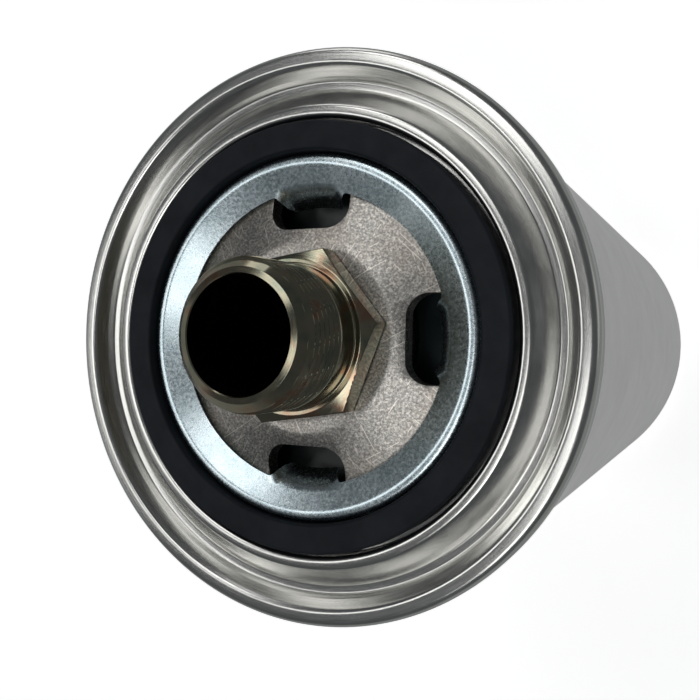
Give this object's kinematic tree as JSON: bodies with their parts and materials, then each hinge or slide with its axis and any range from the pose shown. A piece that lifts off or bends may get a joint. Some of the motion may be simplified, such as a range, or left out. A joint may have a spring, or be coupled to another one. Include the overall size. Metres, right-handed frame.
{
  "type": "oil filter",
  "caption": "Spin-on oil filter: painted can, rolled seam, ridged lid with gasket channel, slotted base plate and hexagon nipple with an outside thread.",
  "frame": {"origin": "centre of the foot on the closed end, where the filter stands", "axes": "+Z along the filter axis from the closed end to the open end with the nipple; +X passes through one inlet slot"},
  "size_m": [0.098, 0.098, 0.2214],
  "materials": {
    "can_paint": "satin, light warm grey paint",
    "lid_steel": "burnished by the seaming rolls, with a bright zinc ring",
    "plate_steel": "bare stamped steel, warm grey, finely grained",
    "nipple_zinc": "olive-gold chromated zinc, glossy",
    "gasket_rubber": "smooth matt black",
    "valve_rubber": "satin dark teal-black",
    "seam_sealant": "matt",
    "cap_tinplate": "satin tinplate",
    "spring_steel": "dark oiled spring steel",
    "media_paper": "resin-cured pleated paper",
    "potting": "cured plastisol"
  },
  "bodies": {
    "housing": {"can_shell": "can_paint", "seam_compound": "seam_sealant", "seaming_lid": "lid_steel", "mounting_gasket": "gasket_rubber", "base_plate": "plate_steel", "threaded_nipple": "nipple_zinc", "element_spring": "spring_steel"},
    "drain_flap": {"anti_drain_valve": "valve_rubber"},
    "element": {"nipple_grommet": "valve_rubber", "top_end_cap": "cap_tinplate", "bottom_end_cap": "cap_tinplate", "top_potting": "potting", "bottom_potting": "potting", "pleated_media": "media_paper", "media_seam_clip": "cap_tinplate", "centre_tube": "cap_tinplate", "bypass_seat": "cap_tinplate", "bypass_cage": "cap_tinplate", "bypass_spring": "spring_steel", "spring_seat": "cap_tinplate"},
    "poppet": {"bypass_poppet": "cap_tinplate", "bypass_seal": "valve_rubber"}
  },
  "joints": [
    {"name": "drain_flap_flex", "type": "slide", "parent": "housing", "child": "drain_flap", "axis": [0, 0, 1], "range_m": [-0.002, 0], "stiffness_N_per_m": 1000, "springref_m": 0.0003, "deforming": ["anti_drain_valve"]},
    {"name": "element_float", "type": "slide", "parent": "housing", "child": "element", "axis": [0, 0, 1], "range_m": [-0.003, 0], "stiffness_N_per_m": 6000, "springref_m": 0.002, "deforming": ["element_spring"]},
    {"name": "bypass_lift", "type": "slide", "parent": "element", "child": "poppet", "axis": [0, 0, 1], "range_m": [0, 0.004], "stiffness_N_per_m": 3000, "deforming": ["bypass_spring"]}
  ]
}
